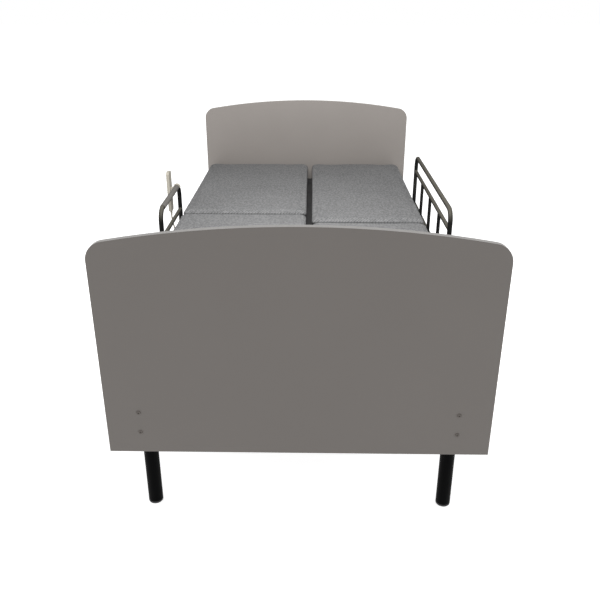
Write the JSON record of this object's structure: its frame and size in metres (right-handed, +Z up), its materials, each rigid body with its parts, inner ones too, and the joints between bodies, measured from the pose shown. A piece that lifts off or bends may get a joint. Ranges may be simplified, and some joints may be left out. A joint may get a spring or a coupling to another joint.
{
  "type": "adjustable bed base",
  "caption": "Electrically adjustable bed base: side-by-side articulated decks with lifting back, thigh and calf sections between two boards, side rail and assist handle.",
  "frame": {"origin": "on the floor under the middle of the bed", "axes": "+Y towards the head end along the bed, +X to the right seen from the foot end, +Z up"},
  "size_m": [1.148, 2.109, 0.889],
  "materials": {
    "board": "taupe-grey laminate on board, satin",
    "frame_paint": "black powder coat, satin",
    "leg_paint": "black powder coat, semi-gloss",
    "tray_paint": "dark grey powder coat, satin",
    "rail_paint": "black powder coat, satin",
    "upholstery": "grey knitted fabric, matte",
    "bright_steel": "zinc plated",
    "polished_steel": "polished",
    "rubber": "matte",
    "nylon": "natural nylon",
    "black_plastic": "fine texture",
    "drive_housing": "fine texture",
    "cable": "matte sheath",
    "handset_cord": "beige sheath",
    "handset_plastic": "ivory, fine texture",
    "key_plastic": "soft grey keys",
    "grip_foam": "foam sleeve"
  },
  "bodies": {
    "base": {"headboard": "board", "footboard": "board", "board_bolts": "bright_steel", "left_side_beam": "frame_paint", "right_side_beam": "frame_paint", "centre_beam": "frame_paint", "head_cross_tube": "frame_paint", "foot_cross_tube": "frame_paint", "head_drive_beam": "frame_paint", "foot_drive_beam": "frame_paint", "head_left_leg": "leg_paint", "head_right_leg": "leg_paint", "foot_left_leg": "leg_paint", "foot_right_leg": "leg_paint", "leg_glides": "black_plastic", "frame_bolts": "bright_steel", "rest_buffers": "rubber", "left_seat_tray": "tray_paint", "right_seat_tray": "tray_paint", "left_seat_pad": "upholstery", "right_seat_pad": "upholstery", "seat_hinge_pins": "bright_steel", "left_back_drive": "drive_housing", "left_leg_drive": "drive_housing", "right_back_drive": "drive_housing", "right_leg_drive": "drive_housing", "control_box": "black_plastic", "drive_cables": "cable", "handset": "handset_plastic", "handset_cord": "handset_cord", "rail_brackets": "rail_paint", "assist_handle": "rail_paint", "handle_grip": "grip_foam", "handle_clamps": "rail_paint"},
    "left_back": {"left_back_tray": "tray_paint", "left_back_pad": "upholstery"},
    "left_thigh": {"left_thigh_tray": "tray_paint", "left_thigh_pad": "upholstery", "left_knee_pins": "bright_steel"},
    "left_calf": {"left_calf_tray": "tray_paint", "left_calf_pad": "upholstery", "left_calf_skids": "nylon"},
    "left_back_rod": {"left_back_rod": "polished_steel"},
    "left_leg_rod": {"left_leg_rod": "polished_steel"},
    "right_back": {"right_back_tray": "tray_paint", "right_back_pad": "upholstery"},
    "right_thigh": {"right_thigh_tray": "tray_paint", "right_thigh_pad": "upholstery", "right_knee_pins": "bright_steel"},
    "right_calf": {"right_calf_tray": "tray_paint", "right_calf_pad": "upholstery", "right_calf_skids": "nylon"},
    "right_back_rod": {"right_back_rod": "polished_steel"},
    "right_leg_rod": {"right_leg_rod": "polished_steel"},
    "left_back_rocker": {"left_back_rocker": "key_plastic"},
    "left_leg_rocker": {"left_leg_rocker": "key_plastic"},
    "right_back_rocker": {"right_back_rocker": "key_plastic"},
    "right_leg_rocker": {"right_leg_rocker": "key_plastic"},
    "side_rail": {"side_rail": "rail_paint"},
    "rail_lock": {"rail_lock_knob": "black_plastic"}
  },
  "joints": [
    {"name": "left_back_lift", "type": "hinge", "parent": "base", "child": "left_back", "pos_m": [-0.255, 0.13, 0.543], "axis": [1, 0, 0], "range_deg": [0, 60]},
    {"name": "left_thigh_lift", "type": "hinge", "parent": "base", "child": "left_thigh", "pos_m": [-0.255, -0.11, 0.543], "axis": [-1, 0, 0], "range_deg": [0, 35]},
    {"name": "left_calf_fold", "type": "hinge", "parent": "left_thigh", "child": "left_calf", "pos_m": [-0.255, -0.462, 0.503], "axis": [1, 0, 0], "range_deg": [0, 58.9]},
    {"name": "left_back_rod_slide", "type": "slide", "parent": "base", "child": "left_back_rod", "axis": [0, 1, 0], "range_m": [0, 0.1275]},
    {"name": "left_leg_rod_slide", "type": "slide", "parent": "base", "child": "left_leg_rod", "axis": [0, -1, 0], "range_m": [0, 0.0699]},
    {"name": "right_back_lift", "type": "hinge", "parent": "base", "child": "right_back", "pos_m": [0.259, 0.021, 0.543], "axis": [1, 0, 0], "range_deg": [0, 60]},
    {"name": "right_thigh_lift", "type": "hinge", "parent": "base", "child": "right_thigh", "pos_m": [0.259, -0.199, 0.543], "axis": [-1, 0, 0], "range_deg": [0, 35]},
    {"name": "right_calf_fold", "type": "hinge", "parent": "right_thigh", "child": "right_calf", "pos_m": [0.259, -0.531, 0.503], "axis": [1, 0, 0], "range_deg": [0, 61.1]},
    {"name": "right_back_rod_slide", "type": "slide", "parent": "base", "child": "right_back_rod", "axis": [0, 1, 0], "range_m": [0, 0.1275]},
    {"name": "right_leg_rod_slide", "type": "slide", "parent": "base", "child": "right_leg_rod", "axis": [0, -1, 0], "range_m": [0, 0.0699]},
    {"name": "left_back_key", "type": "hinge", "parent": "base", "child": "left_back_rocker", "pos_m": [-0.5685, 0.225, 0.693], "axis": [0, 1, 0], "range_deg": [-6, 6], "stiffness_Nm_per_rad": 0.05},
    {"name": "left_leg_key", "type": "hinge", "parent": "base", "child": "left_leg_rocker", "pos_m": [-0.5685, 0.225, 0.669], "axis": [0, 1, 0], "range_deg": [-6, 6], "stiffness_Nm_per_rad": 0.05},
    {"name": "right_back_key", "type": "hinge", "parent": "base", "child": "right_back_rocker", "pos_m": [-0.5685, 0.225, 0.645], "axis": [0, 1, 0], "range_deg": [-6, 6], "stiffness_Nm_per_rad": 0.05},
    {"name": "right_leg_key", "type": "hinge", "parent": "base", "child": "right_leg_rocker", "pos_m": [-0.5685, 0.225, 0.621], "axis": [0, 1, 0], "range_deg": [-6, 6], "stiffness_Nm_per_rad": 0.05},
    {"name": "side_rail_fold", "type": "hinge", "parent": "base", "child": "side_rail", "pos_m": [0.546, 0.2775, 0.427], "axis": [0, 1, 0], "range_deg": [0, 180]},
    {"name": "rail_lock_pull", "type": "slide", "parent": "base", "child": "rail_lock", "axis": [1, 0, 0], "range_m": [0, 0.006], "stiffness_N_per_m": 600}
  ],
  "couplings": [
    {"joint": "left_calf_fold", "follows": "left_thigh_lift", "ratio": 1.68},
    {"joint": "left_back_rod_slide", "follows": "left_back_lift", "m_per_rad": 0.12129},
    {"joint": "left_leg_rod_slide", "follows": "left_thigh_lift", "m_per_rad": 0.11355},
    {"joint": "right_calf_fold", "follows": "right_thigh_lift", "ratio": 1.742},
    {"joint": "right_back_rod_slide", "follows": "right_back_lift", "m_per_rad": 0.12129},
    {"joint": "right_leg_rod_slide", "follows": "right_thigh_lift", "m_per_rad": 0.11355}
  ]
}
